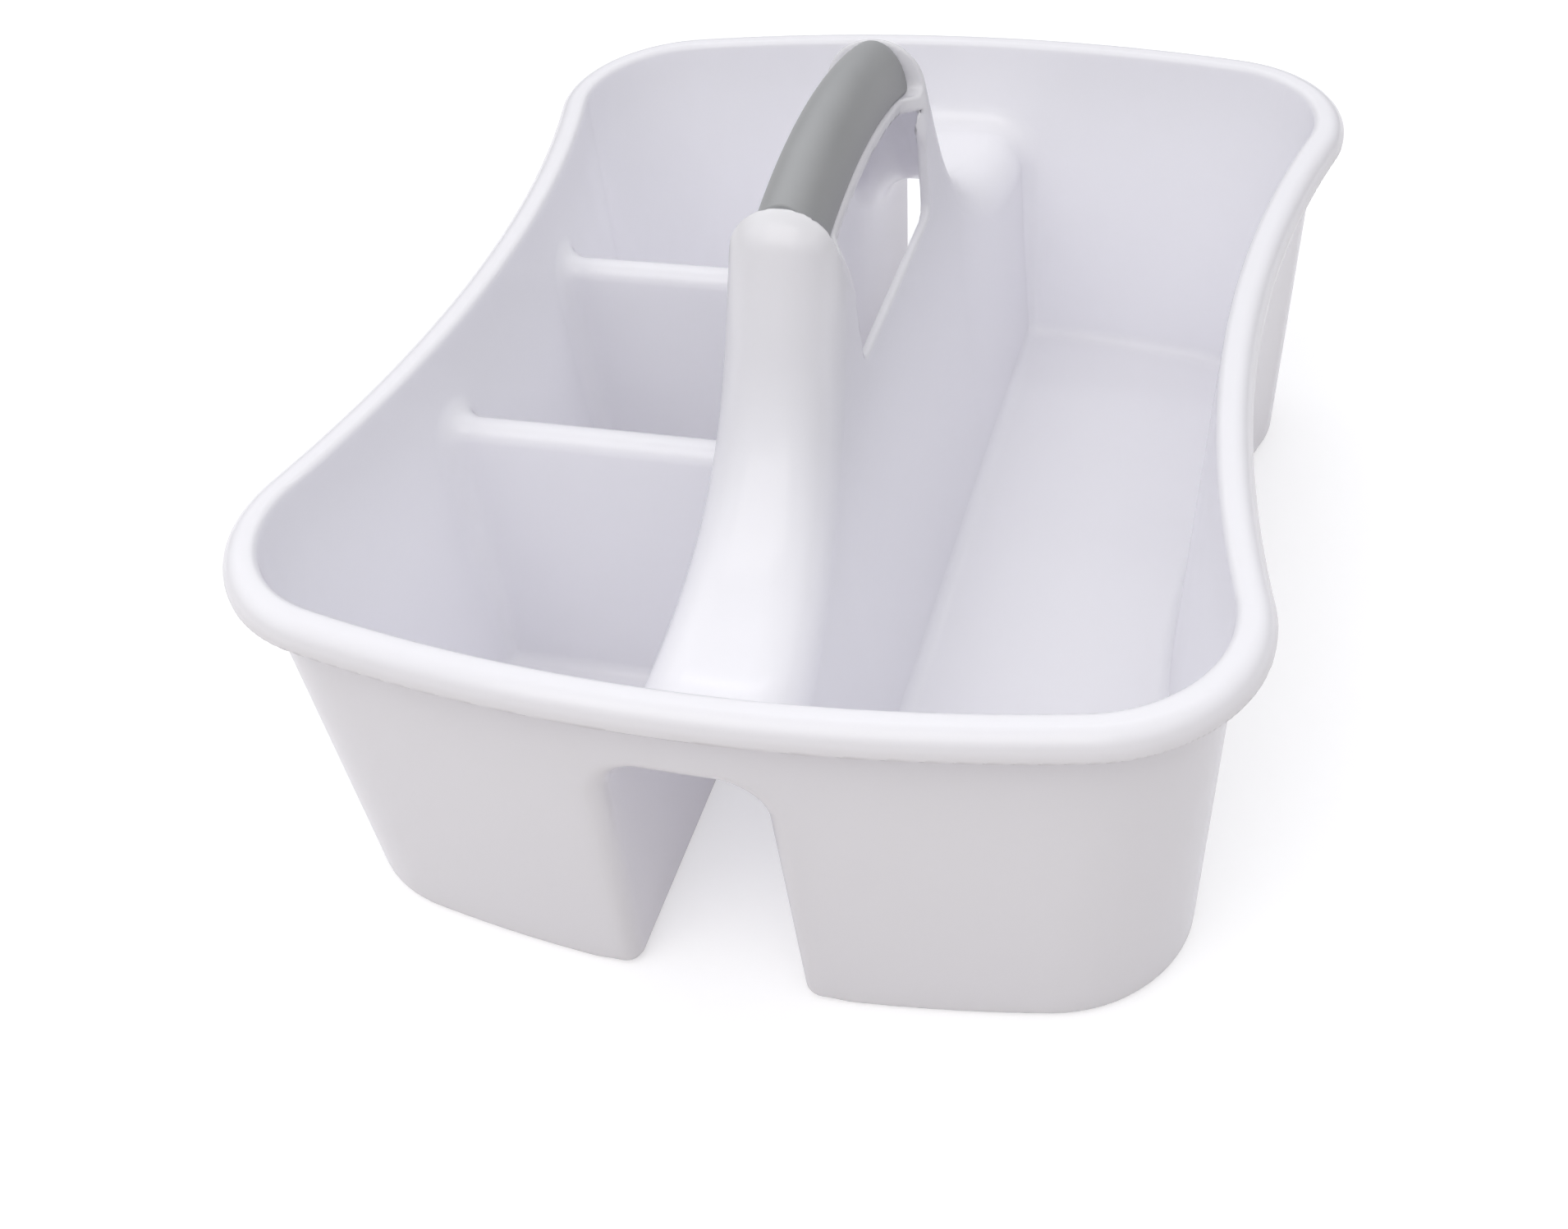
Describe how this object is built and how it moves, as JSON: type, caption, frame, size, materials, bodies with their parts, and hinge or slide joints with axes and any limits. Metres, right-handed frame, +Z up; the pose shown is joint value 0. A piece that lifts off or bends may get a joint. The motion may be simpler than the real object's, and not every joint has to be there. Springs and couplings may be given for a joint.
{
  "type": "cleaning caddy",
  "caption": "Two-sided moulded tote for cleaning supplies, one side split by low dividers, with a hollow centre ridge rising into an arched carry handle with a soft grip.",
  "frame": {"origin": "middle of the rectangle that the caddy covers, on the surface that it stands on", "axes": "+Z up, +Y along the handle, +X across the caddy towards the undivided bin"},
  "size_m": [0.3338, 0.4404, 0.223],
  "materials": {
    "white_plastic": "gloss white injection-moulded plastic",
    "soft_grip": "satin mid-grey soft-touch elastomer"
  },
  "bodies": {
    "root": {"caddy_body": "white_plastic", "handle_grip": "soft_grip"}
  },
  "joints": []
}
